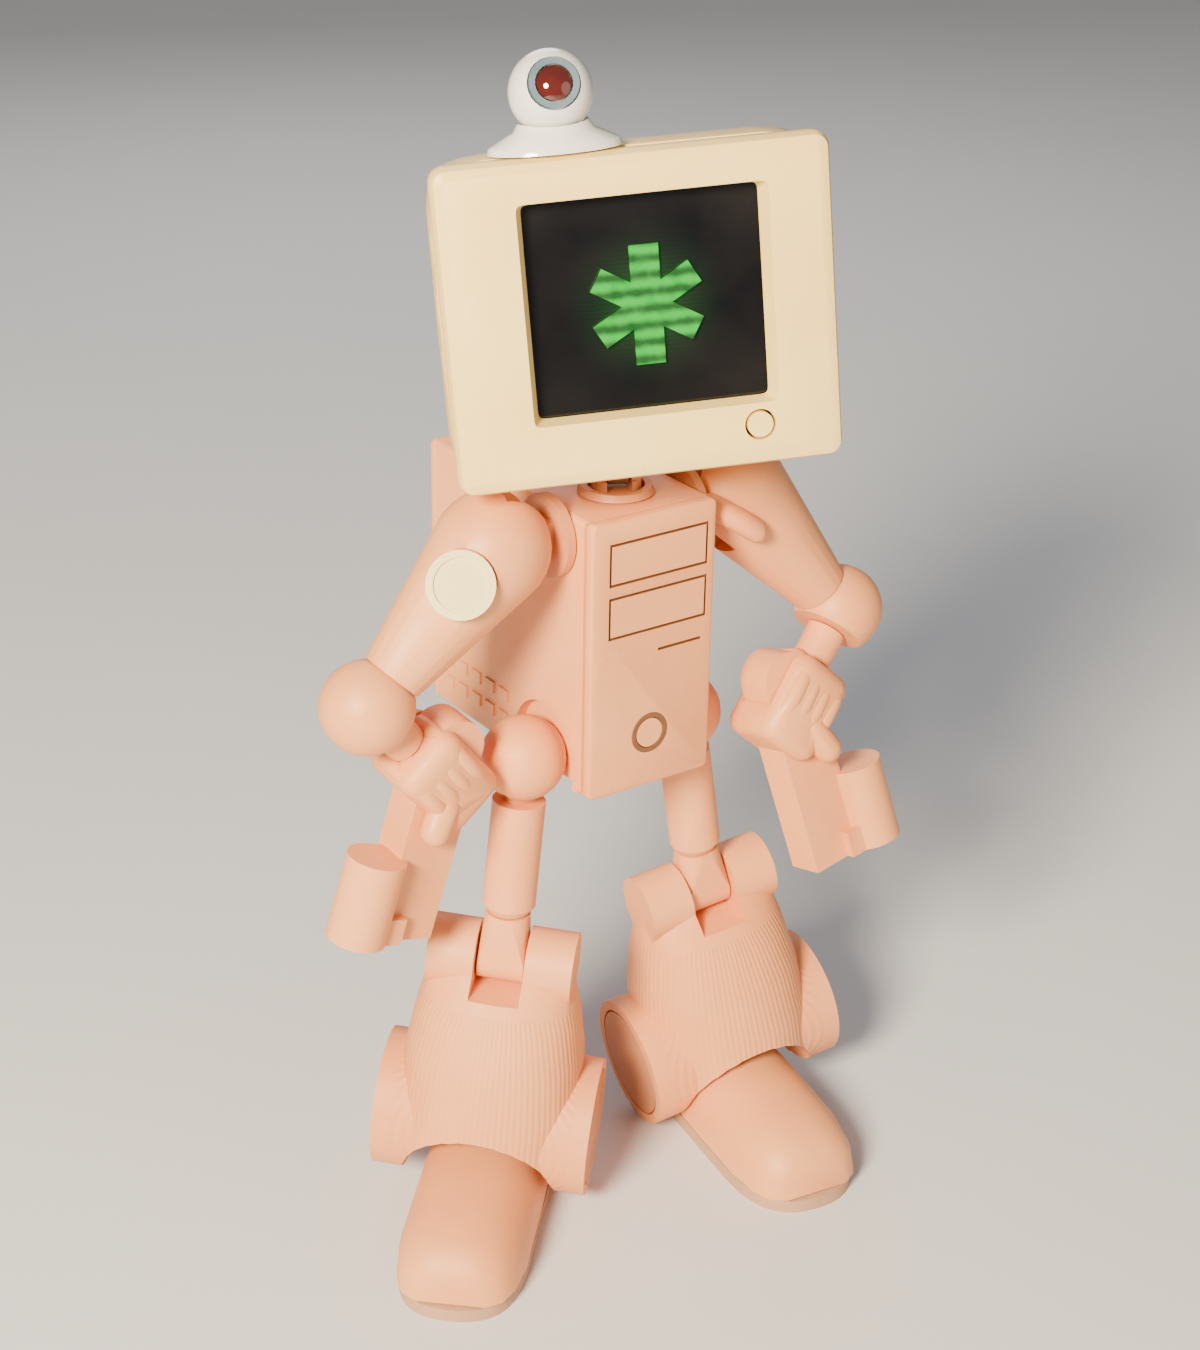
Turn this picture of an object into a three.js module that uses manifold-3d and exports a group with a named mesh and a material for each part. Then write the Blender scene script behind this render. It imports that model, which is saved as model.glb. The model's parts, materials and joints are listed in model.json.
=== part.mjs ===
import * as THREE from 'three';
import { mergeVertices } from 'three/addons/utils/BufferGeometryUtils.js';
import { ConvexGeometry } from 'three/addons/geometries/ConvexGeometry.js';
import Module from 'manifold-3d';

// ---------------------------------------------------------------- driving dimensions (mm, degrees)
const GAP = 0.35;                   // air left between neighbouring pieces
const TOWER = { w: 26, d: 52.5, h: 52, wall: 1.8, panel: 2.4, cover: 2.0, edge: 1.1 };
const HIP = { y: 14.5, z: 4, recessR: 9.6, recess: 2.2, ballR: 7.8, axleR: 2.6, out: 4.4 };
const THIGH = { r: 4.9, top: 7.9, length: 22.3, tongue: 3.4 };
const KNEE = { drop: 40.5, linkR: 4.2, cylR: 6.6, cylL: 27, slot: 9.4, pinR: 1.6 };
const SHIN = { length: 34.1, wall: 2.0 };
const ANKLE = { discR: 13.0, discT: 4.2, half: 16.2, axleR: 2.4, height: 16.8 };
const FOOT = { w: 23.8, front: 41, back: 13, sole: 2.6 };
const NECK = { y: 12, postR: 4.4, collarR: 6.8, nod: 4.2, stem: 8.3, forkR: 3.3, pinR: 1.2 };
const HEAD = { w: 64, h: 53, flat: 14, d: 43, edge: 1.9, bezel: 6.4, wall: 2.2, faceY: -22.5, faceZ: 22, faceX: 2.4 };
const SCREEN = { w: 38.2, h: 34.6, x: 1.2, up: 1.9, deep: 3.4, flare: 1.2 };
const EYE = { r: 6.8, irisR: 4.1, lensR: 2.8, x: -11, y: 7.6, footW: 22, footD: 14.4, footH: 5, rise: 9.2 };
const ARM = { y: 12, z: 47, x: 25.6, bigR: 10.2, smallR: 5.2, length: 34, lugR: 5.6, lugT: 5.6 };
const ELBOW = { r: 8.3, flat: 4.6 };
const FOREARM = { r: 3.7, length: 6.5 };
const HAND = { h: 16, grip: 10 };
const HANDSET = { w: 11, d: 7.6, tip: 11, below: 31, footR: 5.4, footH: 16, tilt: { right: 34, left: 36 } };

// walking stance, degrees: hip swing, splay, thigh turn and knee bend of each leg
const STANCE = {
  right: { swing: 0, splay: 6, turn: -43, knee: 3 },
  left: { swing: 0, splay: -9.5, turn: -9, knee: -1.5 },
};
// arm pose: shoulder swing and raise, elbow bend, wrist turn
const ARMS = {
  right: { swing: 3, raise: 45, elbow: -85, wrist: 0 },
  left: { swing: -15, raise: -38.5, elbow: 82, wrist: 0 },
};
const HEADING = { turn: -26, nod: -6, tilt: -4.5 };

// ---------------------------------------------------------------- solid helpers
const wasm = await Module();
wasm.setup();

function toSolid(geometry) {
  const bare = new THREE.BufferGeometry();
  bare.setAttribute('position', geometry.getAttribute('position').clone());
  if (geometry.index) bare.setIndex(geometry.index.clone());
  const merged = mergeVertices(bare, 1e-4);
  const index = merged.index.array;
  const faces = [];
  for (let i = 0; i < index.length; i += 3) {
    const [a, b, c] = [index[i], index[i + 1], index[i + 2]];
    if (a !== b && b !== c && c !== a) faces.push(a, b, c);
  }
  return new wasm.Manifold(new wasm.Mesh({
    numProp: 3,
    vertProperties: new Float32Array(merged.getAttribute('position').array),
    triVerts: new Uint32Array(faces),
  }));
}

function toGeometry(body) {
  const mesh = body.getMesh();
  const geometry = new THREE.BufferGeometry();
  geometry.setAttribute('position', new THREE.BufferAttribute(new Float32Array(mesh.vertProperties), 3));
  geometry.setIndex(new THREE.BufferAttribute(new Uint32Array(mesh.triVerts), 1));
  return geometry;
}

const join = (...pieces) => toGeometry(pieces.map(toSolid).reduce((a, b) => a.add(b)));
const cut = (piece, ...tools) => toGeometry(tools.map(toSolid).reduce((a, b) => a.subtract(b), toSolid(piece)));
const common = (a, b) => toGeometry(toSolid(a).intersect(toSolid(b)));
const at = (geometry, x, y, z) => geometry.clone().translate(x, y, z);
const rad = THREE.MathUtils.degToRad;

const block = (w, d, h) => new THREE.BoxGeometry(w, d, h);
const rodZ = (r, h, seg = 24, top = r) => new THREE.CylinderGeometry(top, r, h, seg).rotateX(Math.PI / 2);
const rodX = (r, h, seg = 24, end = r) => rodZ(r, h, seg, end).rotateY(Math.PI / 2);
const rodY = (r, h, seg = 24, end = r) => new THREE.CylinderGeometry(end, r, h, seg);
const ball = (r, seg = 20, rings = 12) => new THREE.SphereGeometry(r, seg, rings).rotateX(Math.PI / 2);

// rounded rectangle standing in the XZ plane, running from y = 0 back to y = depth
function panel(w, h, radius, depth, bevel = 0) {
  const shape = new THREE.Shape();
  const [x, z] = [w / 2 - bevel, h / 2 - bevel];
  const r = Math.max(radius - bevel, 0.05);
  shape.moveTo(-x + r, -z);
  shape.lineTo(x - r, -z);
  shape.absarc(x - r, -z + r, r, -Math.PI / 2, 0);
  shape.absarc(x - r, z - r, r, 0, Math.PI / 2);
  shape.absarc(-x + r, z - r, r, Math.PI / 2, Math.PI);
  shape.absarc(-x + r, -z + r, r, Math.PI, 1.5 * Math.PI);
  const options = { depth: depth - 2 * bevel, curveSegments: 3, bevelEnabled: bevel > 0,
    bevelThickness: bevel, bevelSize: bevel, bevelSegments: 2 };
  return new THREE.ExtrudeGeometry(shape, options).rotateX(Math.PI / 2).translate(0, depth - bevel, 0);
}

// closed skin through rings of points, each ring listed the same way round
function skin(rings) {
  const n = rings[0].length;
  const points = rings.flat();
  const faces = [];
  for (let k = 0; k + 1 < rings.length; k += 1) {
    for (let i = 0; i < n; i += 1) {
      const [a, b] = [k * n + i, k * n + (i + 1) % n];
      faces.push(a, b, b + n, a, b + n, a + n);
    }
  }
  const centre = (ring) => ring.reduce((s, p) => s.add(p), new THREE.Vector3()).divideScalar(n);
  points.push(centre(rings[0]), centre(rings[rings.length - 1]));
  const last = (rings.length - 1) * n;
  for (let i = 0; i < n; i += 1) {
    const j = (i + 1) % n;
    faces.push(rings.length * n, j, i);
    faces.push(rings.length * n + 1, last + i, last + j);
  }
  const geometry = new THREE.BufferGeometry().setFromPoints(points);
  geometry.setIndex(faces);
  return geometry;
}

// superellipse ring at height z; power 2 is an ellipse, larger is squarer
function oval(z, rx, ry, y0 = 0, power = 2, x0 = 0, seg = 32) {
  return Array.from({ length: seg }, (_, i) => {
    const t = (2 * Math.PI * i) / seg;
    const [c, s] = [Math.cos(t), Math.sin(t)];
    const cx = Math.sign(c) * Math.abs(c) ** (2 / power);
    const sy = Math.sign(s) * Math.abs(s) ** (2 / power);
    return new THREE.Vector3(x0 + rx * cx, y0 + ry * sy, z);
  });
}

// hull of several shapes
function hull(...pieces) {
  const points = [];
  for (const piece of pieces) {
    const p = piece.getAttribute('position');
    for (let i = 0; i < p.count; i += 1) points.push(new THREE.Vector3().fromBufferAttribute(p, i));
  }
  return new ConvexGeometry(points);
}

// ---------------------------------------------------------------- materials
const cream = new THREE.MeshStandardMaterial({ color: 0xefd9b8, roughness: 0.62, metalness: 0 });
const creamDark = new THREE.MeshStandardMaterial({ color: 0xe6cda8, roughness: 0.66, metalness: 0 });
const white = new THREE.MeshStandardMaterial({ color: 0xf6f3ec, roughness: 0.28, metalness: 0 });
const black = new THREE.MeshStandardMaterial({ color: 0x0b0b0d, roughness: 0.12, metalness: 0 });
const green = new THREE.MeshStandardMaterial({ color: 0x18c928, roughness: 0.4, metalness: 0 });
const blueGrey = new THREE.MeshStandardMaterial({ color: 0x5d7683, roughness: 0.3, metalness: 0 });
const amber = new THREE.MeshStandardMaterial({ color: 0x3a120c, roughness: 0.1, metalness: 0 });
const steel = new THREE.MeshStandardMaterial({ color: 0xa9adb2, roughness: 0.35, metalness: 1 });
const board = new THREE.MeshStandardMaterial({ color: 0x1d5a34, roughness: 0.55, metalness: 0 });
const rubber = new THREE.MeshStandardMaterial({ color: 0xd8bd95, roughness: 0.9, metalness: 0 });

// ---------------------------------------------------------------- assembly helpers
const robot = new THREE.Group();
robot.name = 'robot';

function piece(parent, name, geometry, material) {
  const mesh = new THREE.Mesh(join(geometry), material);
  mesh.name = name;
  parent.add(mesh);
  return mesh;
}

// a turning or sliding station: a group at x, y, z in its parent, turned about one of its own axes
function station(parent, name, [x, y, z], axis, degrees) {
  const group = new THREE.Group();
  group.name = name;
  group.position.set(x, y, z);
  const direction = { x: [1, 0, 0], y: [0, 1, 0], z: [0, 0, 1] }[axis];
  group.quaternion.setFromAxisAngle(new THREE.Vector3(...direction), rad(degrees));
  group.userData.axis = direction;
  parent.add(group);
  return group;
}

// ---------------------------------------------------------------- torso: a small tower case
const half = TOWER.w / 2;
const torso = new THREE.Group();
torso.name = 'torso';
robot.add(torso);

const shellDepth = TOWER.d - TOWER.panel - TOWER.cover - 2 * GAP;
const shellY = TOWER.panel + GAP;
const shellZ = TOWER.h / 2;
const inner = [TOWER.w - 2 * TOWER.wall, TOWER.h - 2 * TOWER.wall];
const hipBoss = (s) => common(
  at(rodX(HIP.recessR + 1.8, HIP.recess + TOWER.wall, 40), s * (half - (HIP.recess + TOWER.wall) / 2), HIP.y, HIP.z),
  at(block(TOWER.w, shellDepth, TOWER.h), 0, shellY + shellDepth / 2, shellZ),
);
const louvres = [];
for (const s of [-1, 1]) {
  for (let row = 0; row < 2; row += 1) {
    for (let i = 0; i < 5; i += 1) {
      louvres.push(at(block(0.9, 3.0, 2.2), s * half, 27.5 + i * 4.6, 5.6 + row * 4.6));
    }
  }
}
const shell = cut(
  join(
    cut(
      at(panel(TOWER.w, TOWER.h, TOWER.edge, shellDepth), 0, shellY, shellZ),
      at(block(inner[0], shellDepth + 4, inner[1]), 0, shellY + shellDepth / 2, shellZ),
    ),
    hipBoss(-1),
    hipBoss(1),
    ...louvres,
  ),
  ...[-1, 1].flatMap((s) => [
    at(rodX(HIP.recessR, HIP.recess * 2, 40), s * half, HIP.y, HIP.z),
    at(rodX(HIP.axleR + GAP, 20), s * half, HIP.y, HIP.z),
    at(rodX(3.2 + GAP, 20), s * half, ARM.y, ARM.z),
  ]),
  at(rodZ(NECK.postR + GAP, 10, 28), 0, NECK.y, TOWER.h),
);
piece(torso, 'torso_shell', shell, cream);

// front panel with engraved drive bays and the ring round the power button
function frame(w, h, x, z, line = 0.55, deep = 0.5) {
  return [
    at(block(w, deep * 2, line), x, 0, z + h / 2),
    at(block(w, deep * 2, line), x, 0, z - h / 2),
    at(block(line, deep * 2, h + line), x - w / 2, 0, z),
    at(block(line, deep * 2, h + line), x + w / 2, 0, z),
  ];
}
const BUTTON = { x: -0.3, z: 10.4, r: 2.75, ring: 3.5 };
piece(torso, 'torso_front_panel', cut(
  at(panel(TOWER.w, TOWER.h, TOWER.edge, TOWER.panel, 0.5), 0, 0, shellZ),
  ...frame(20.4, 7.4, 0.9, 44.1),
  ...frame(20.4, 7.4, 0.9, 34.2),
  at(block(9.4, 1, 0.6), 5.8, 0, 26.2),
  at(rodY(BUTTON.ring, 10, 28), BUTTON.x, 0, BUTTON.z),
), cream);
piece(torso, 'torso_back_cover', cut(
  join(
    at(panel(TOWER.w, TOWER.h, TOWER.edge, TOWER.cover, 0.5), 0, TOWER.d - TOWER.cover, shellZ),
    at(block(inner[0] - 1, 3, inner[1] - 1), 0, TOWER.d - TOWER.cover - 1.5, shellZ),
  ),
  at(block(inner[0] - 3, 6, inner[1] - 3), 0, TOWER.d - TOWER.cover - 3.4, shellZ),
  ...[0, 1, 2, 3].map((i) => at(block(14, 1.2, 0.9), 0, TOWER.d, 12 + i * 3)),
), cream);
const powerButton = station(torso, 'power_button', [BUTTON.x, 0, BUTTON.z], 'y', 0);
piece(powerButton, 'torso_button', at(rodY(BUTTON.r, 3.2, 24), 0, 1.5, 0), cream);

piece(torso, 'main_board', at(block(19, 1.4, 30), 0, 6.4, 30), board);
piece(torso, 'battery_tray', cut(
  at(block(22, 12.4, 47.4), 0, 36, 26),
  at(block(20.6, 12.4, 46), 0, 37.2, 26),
), creamDark);
for (const [i, x] of [[1, -5.15], [2, 5.15]]) {
  piece(torso, `battery_cell_${i}`, at(join(rodZ(5.0, 43.5, 20), at(rodZ(1.6, 1.4, 12), 0, 0, 22.2)),
    x, 36.6, 25.4), steel);
}
piece(torso, 'neck_socket', cut(
  at(rodZ(NECK.collarR, 1.2, 32, NECK.collarR - 0.5), 0, NECK.y, TOWER.h + GAP + 0.6),
  at(rodZ(NECK.postR + 0.65, 6, 28), 0, NECK.y, TOWER.h),
), creamDark);

// ---------------------------------------------------------------- neck and head
const neck = station(robot, 'neck_turn', [0, NECK.y, TOWER.h], 'z', HEADING.turn);
piece(neck, 'neck_post', cut(
  join(at(rodZ(NECK.postR, 6.5, 28), 0, 0, -0.25), at(rodX(NECK.forkR, 7.4, 24), 0, 0, NECK.nod)),
  at(block(4.4, 14, 12), 0, 0, NECK.nod + 2.9),
  at(rodX(NECK.pinR + 0.2, 20, 16), 0, 0, NECK.nod),
), creamDark);
const nod = station(neck, 'neck_nod', [0, 0, NECK.nod], 'x', HEADING.nod);
piece(nod, 'neck_link', join(
  rodX(2.7, 3.7, 24),
  rodX(NECK.pinR, 7.2, 16),
  at(block(3.7, 4.4, NECK.stem), 0, 0, NECK.stem / 2),
  at(rodY(2.3, 14.6, 20), 0, 0, NECK.stem),
), steel);
const tilt = station(nod, 'head_tilt', [0, 0, NECK.stem], 'y', HEADING.tilt);
const head = new THREE.Group();
head.position.x = HEAD.faceX;
tilt.add(head);
const { faceY, faceZ } = HEAD;
const squareRing = (y, w, h, z = faceZ, power = 9) => oval(0, w / 2, h / 2, 0, power, 0, 32)
  .map((p) => new THREE.Vector3(p.x, y, p.y + z));
const screenZ = faceZ + SCREEN.up;
const HBUTTON = { x: 18, z: -19.6, r: 2.15, ring: 2.6 };
const bezelInner = [HEAD.w - 2 * HEAD.wall - 4, HEAD.h - 2 * HEAD.wall - 3];
piece(head, 'head_bezel', cut(
  at(panel(HEAD.w, HEAD.h, 2.6, HEAD.bezel, HEAD.edge), 0, faceY, faceZ),
  at(skin([
    squareRing(faceY + SCREEN.deep + 0.1, SCREEN.w, SCREEN.h, screenZ, 40),
    squareRing(faceY - 0.1, SCREEN.w + 2 * SCREEN.flare, SCREEN.h + SCREEN.flare, screenZ, 40),
  ]), SCREEN.x, 0, 0),
  at(panel(bezelInner[0], bezelInner[1], 1, 10), 0, faceY + SCREEN.deep, faceZ),
  at(rodY(HBUTTON.ring, 20, 24), HBUTTON.x, faceY, faceZ + HBUTTON.z),
), cream);
const shellRings = (start, inset, end) => [
  squareRing(faceY + start, HEAD.w - 2 * inset, HEAD.h - 2 * inset),
  squareRing(faceY + HEAD.flat, HEAD.w - 2 * inset, HEAD.h - 2 * inset),
  squareRing(faceY + HEAD.flat + 12, HEAD.w - 9 - 2 * inset, HEAD.h - 6 - 2 * inset, faceZ - 1),
  squareRing(faceY + end, HEAD.w - 24 - 2 * inset, HEAD.h - 20 - 2 * inset, faceZ - 2),
].reverse();
const headSlots = [];
for (let i = 0; i < 3; i += 1) {
  headSlots.push(at(block(HEAD.w + 4, 1.3, 5.2), 0, faceY + 9.4, faceZ + 12.5 - i * 9.5));
}
for (let i = 0; i < 5; i += 1) headSlots.push(at(block(20, 8, 1.4), 0, faceY + HEAD.d, faceZ + 6 - i * 4));
piece(head, 'head_shell', cut(
  join(
    cut(
      skin(shellRings(HEAD.bezel + GAP, 0, HEAD.d)),
      skin(shellRings(HEAD.bezel - 2, HEAD.wall, HEAD.d - 2.4)),
      ...headSlots,
      at(block(8.4, 9.8, 9), -HEAD.faceX, 0, -HEAD.h / 2 + faceZ),
    ),
    at(block(10, 2.2, 8), -HEAD.faceX, 6.1, -0.8),
    at(block(10, 2.2, 8), -HEAD.faceX, -6.1, -0.8),
  ),
  at(rodY(2.55, 14.9, 20), -HEAD.faceX, 0, 0),
), cream);
const glassY = faceY + SCREEN.deep + GAP;
piece(head, 'screen_glass', at(panel(SCREEN.w + 5, SCREEN.h + 5, 1, 1.3), SCREEN.x, glassY, screenZ), black);
const bars = [90, 30, -30].map((angle) => block(angle === 90 ? 19.4 : 18.6, 0.5, angle === 90 ? 4.8 : 4.1)
  .rotateY(rad(-angle)));
piece(head, 'screen_symbol', at(join(...bars), SCREEN.x, glassY - 0.6, screenZ - 0.4), green);
piece(head, 'display_board', at(block(SCREEN.w + 3, 1.6, SCREEN.h - 1), SCREEN.x, glassY + 3.2, screenZ), board);
const headButton = station(head, 'head_button_press', [HBUTTON.x, faceY, faceZ + HBUTTON.z], 'y', 0);
piece(headButton, 'head_button', at(rodY(HBUTTON.r, 2.6, 20), 0, 1.3, 0), cream);

// camera eye on top of the head
const eyeBase = new THREE.Group();
eyeBase.position.set(EYE.x, faceY + EYE.y, faceZ + HEAD.h / 2);
head.add(eyeBase);
piece(eyeBase, 'webcam_foot', cut(
  skin([
    oval(GAP, EYE.footW / 2, EYE.footD / 2),
    oval(GAP + 1, EYE.footW / 2 - 0.3, EYE.footD / 2 - 0.2),
    oval(EYE.footH - 1.6, 6.6, 5.8),
    oval(EYE.footH, 5.6, 5.2),
  ]),
  at(rodZ(4.4, 8, 28), 0, 0, 5.1),
  at(ball(EYE.r + 0.5), 0, 0, EYE.rise),
), white);
const eyeTurn = station(eyeBase, 'eye_turn', [0, 0, EYE.rise], 'z', 0);
piece(eyeTurn, 'webcam_swivel', cut(at(rodZ(4.05, 3.2, 28), 0, 0, -6.2), ball(EYE.r + GAP)), white);
const eye = station(eyeTurn, 'eye_tilt', [0, 0, 0], 'x', -20);
piece(eye, 'eye_ball', cut(ball(EYE.r, 24, 16), at(rodY(EYE.irisR + 0.15, 4, 28), 0, -6.4, 0)), white);
piece(eye, 'eye_iris', cut(
  at(rodY(EYE.irisR - 0.1, 1.3, 28), 0, -5.15 + 0.1, 0),
  at(rodY(EYE.lensR + 0.2, 6, 24), 0, -6, 0),
), blueGrey);
piece(eye, 'eye_lens', common(at(ball(4.6, 24, 14), 0, -1.9, 0), at(rodY(EYE.lensR, 4, 24), 0, -6.5, 0)), amber);

// ---------------------------------------------------------------- arms
function arm(side, s) {
  const pose = ARMS[side];
  const reach = ARM.x - half;
  const shoulder = station(robot, `shoulder_swing_${side}`, [s * half, ARM.y, ARM.z], 'x', pose.swing);
  piece(shoulder, `shoulder_hub_${side}`, join(
    at(rodX(3.2, 5.2, 24), -s * 1.6, 0, 0),
    at(rodX(7.4, 1.6, 32), s * (GAP + 0.8), 0, 0),
    at(block(reach, ARM.lugT, 7), s * (reach / 2 + 0.6), 0, 0),
    at(rodY(ARM.lugR, ARM.lugT, 28), s * reach, 0, 0),
    at(rodY(1.8, 13, 16), s * reach, 0, 0),
  ), creamDark);
  const upper = station(shoulder, `shoulder_raise_${side}`, [s * reach, 0, 0], 'y', pose.raise);
  const slotT = ARM.lugT + 2 * GAP;
  const badge = (r, deep) => at(rodY(r, deep, 32), 0, -9.2, 0).rotateZ(rad(s * 42)).translate(0, 0, -8.5);
  const horn = cut(
    hull(ball(ARM.bigR, 24, 14), at(ball(ARM.smallR, 20, 10), 0, 0, -(ARM.length - 4.6))),
    at(block(22, slotT, 22), -s * (11 - ARM.lugR - 0.6), 0, 11 - ARM.lugR - 0.6),
    rodY(2.1, 13.8, 16),
    at(ball(ELBOW.r + GAP, 20, 12), 0, 0, -ARM.length),
  );
  piece(upper, `upper_arm_${side}`, s < 0 ? cut(horn, badge(6.2, 2.4)) : horn, cream);
  if (s < 0) {
    piece(upper, 'arm_badge', cut(badge(5.85, 1.6), at(rodY(4.6, 2, 28), 0, -10.6, 0)
      .rotateZ(rad(s * 42)).translate(0, 0, -8.5)), white);
  }
  const lower = station(upper, `elbow_bend_${side}`, [0, 0, -ARM.length], 'y', pose.elbow);
  piece(lower, `elbow_ball_${side}`, cut(
    ball(ELBOW.r, 24, 14),
    at(block(20, 20, 10), 0, 0, -ELBOW.flat - 5),
  ), cream);
  const top = -ELBOW.flat - GAP;
  piece(lower, `forearm_${side}`, join(
    at(rodZ(FOREARM.r, FOREARM.length, 24), 0, 0, top - FOREARM.length / 2),
    at(rodZ(2.0, 2.2, 16), 0, 0, top - FOREARM.length - 1.1),
  ), cream);
  const wristZ = top - FOREARM.length - GAP;
  const wrist = station(lower, `wrist_turn_${side}`, [0, 0, wristZ], 'z', pose.wrist);
  const barTilt = (geometry) => geometry.rotateY(rad(s * HANDSET.tilt[side])).translate(0, 0, -HAND.grip);
  const bar = (extra) => barTilt(at(block(HANDSET.tip + HANDSET.below, HANDSET.d + extra, HANDSET.w + extra),
    s * (HANDSET.below - HANDSET.tip) / 2, 0, 0));
  const knuckle = (x, y, z, r) => at(ball(r, 12, 7), x, y, z);
  const fist = hull(...[-1, 1].flatMap((i) => [-1, 1].flatMap((j) => [
    knuckle(i * 3.6, j * 4.4, -3.4, 3.2),
    knuckle(i * 3.6, j * 4.4, -HAND.h + 1.0, 3.0),
  ])));
  piece(wrist, `hand_${side}`, cut(
    join(fist, at(hull(knuckle(0, 0, 0, 2.7), knuckle(s * 4.6, -1, -1.4, 2.7)), s * 3.4, -5.4, -11.6)),
    bar(2 * GAP),
    at(rodZ(2.35, 5, 16), 0, 0, 0),
  ), cream);
  piece(wrist, `handset_${side}`, join(
    barTilt(at(block(HANDSET.below + 6, HANDSET.d, HANDSET.w), s * (HANDSET.below - 6) / 2, 0, 0)),
    barTilt(at(rodY(HANDSET.w / 2, HANDSET.d, 24), -s * 6, 0, 0)),
    barTilt(at(rodX(HANDSET.footR, HANDSET.footH, 24), s * (HANDSET.below - HANDSET.footH / 2), -2.4, 9.6)),
    barTilt(at(block(5, 8, 8), s * (HANDSET.below - 2.5), -1.6, 6)),
  ), cream);
}
arm('right', -1);
arm('left', 1);

// ---------------------------------------------------------------- legs
// The figure leans a little to its left so that both ankles are equally high, and the ankle pitch and
// roll of each leg keep its sole flat on the floor.
const deg = THREE.MathUtils.radToDeg;
const AXES = { x: new THREE.Vector3(1, 0, 0), y: new THREE.Vector3(0, 1, 0), z: new THREE.Vector3(0, 0, 1) };
const about = (axis, angle) => new THREE.Quaternion().setFromAxisAngle(AXES[axis], rad(angle));
const legTurn = ({ swing, splay, turn }) => about('x', swing).multiply(about('y', splay)).multiply(about('z', turn));
function anklePoint(side, s) {
  const shin = new THREE.Vector3(0, 0, -SHIN.length).applyQuaternion(about('x', STANCE[side].knee));
  shin.z -= KNEE.drop;
  return shin.applyQuaternion(legTurn(STANCE[side])).add(new THREE.Vector3(s * (half + HIP.out), HIP.y, HIP.z));
}
const ankleStep = anklePoint('left', 1).sub(anklePoint('right', -1));
const lean = deg(Math.atan2(ankleStep.z, ankleStep.x));
robot.quaternion.copy(about('y', lean));
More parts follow.
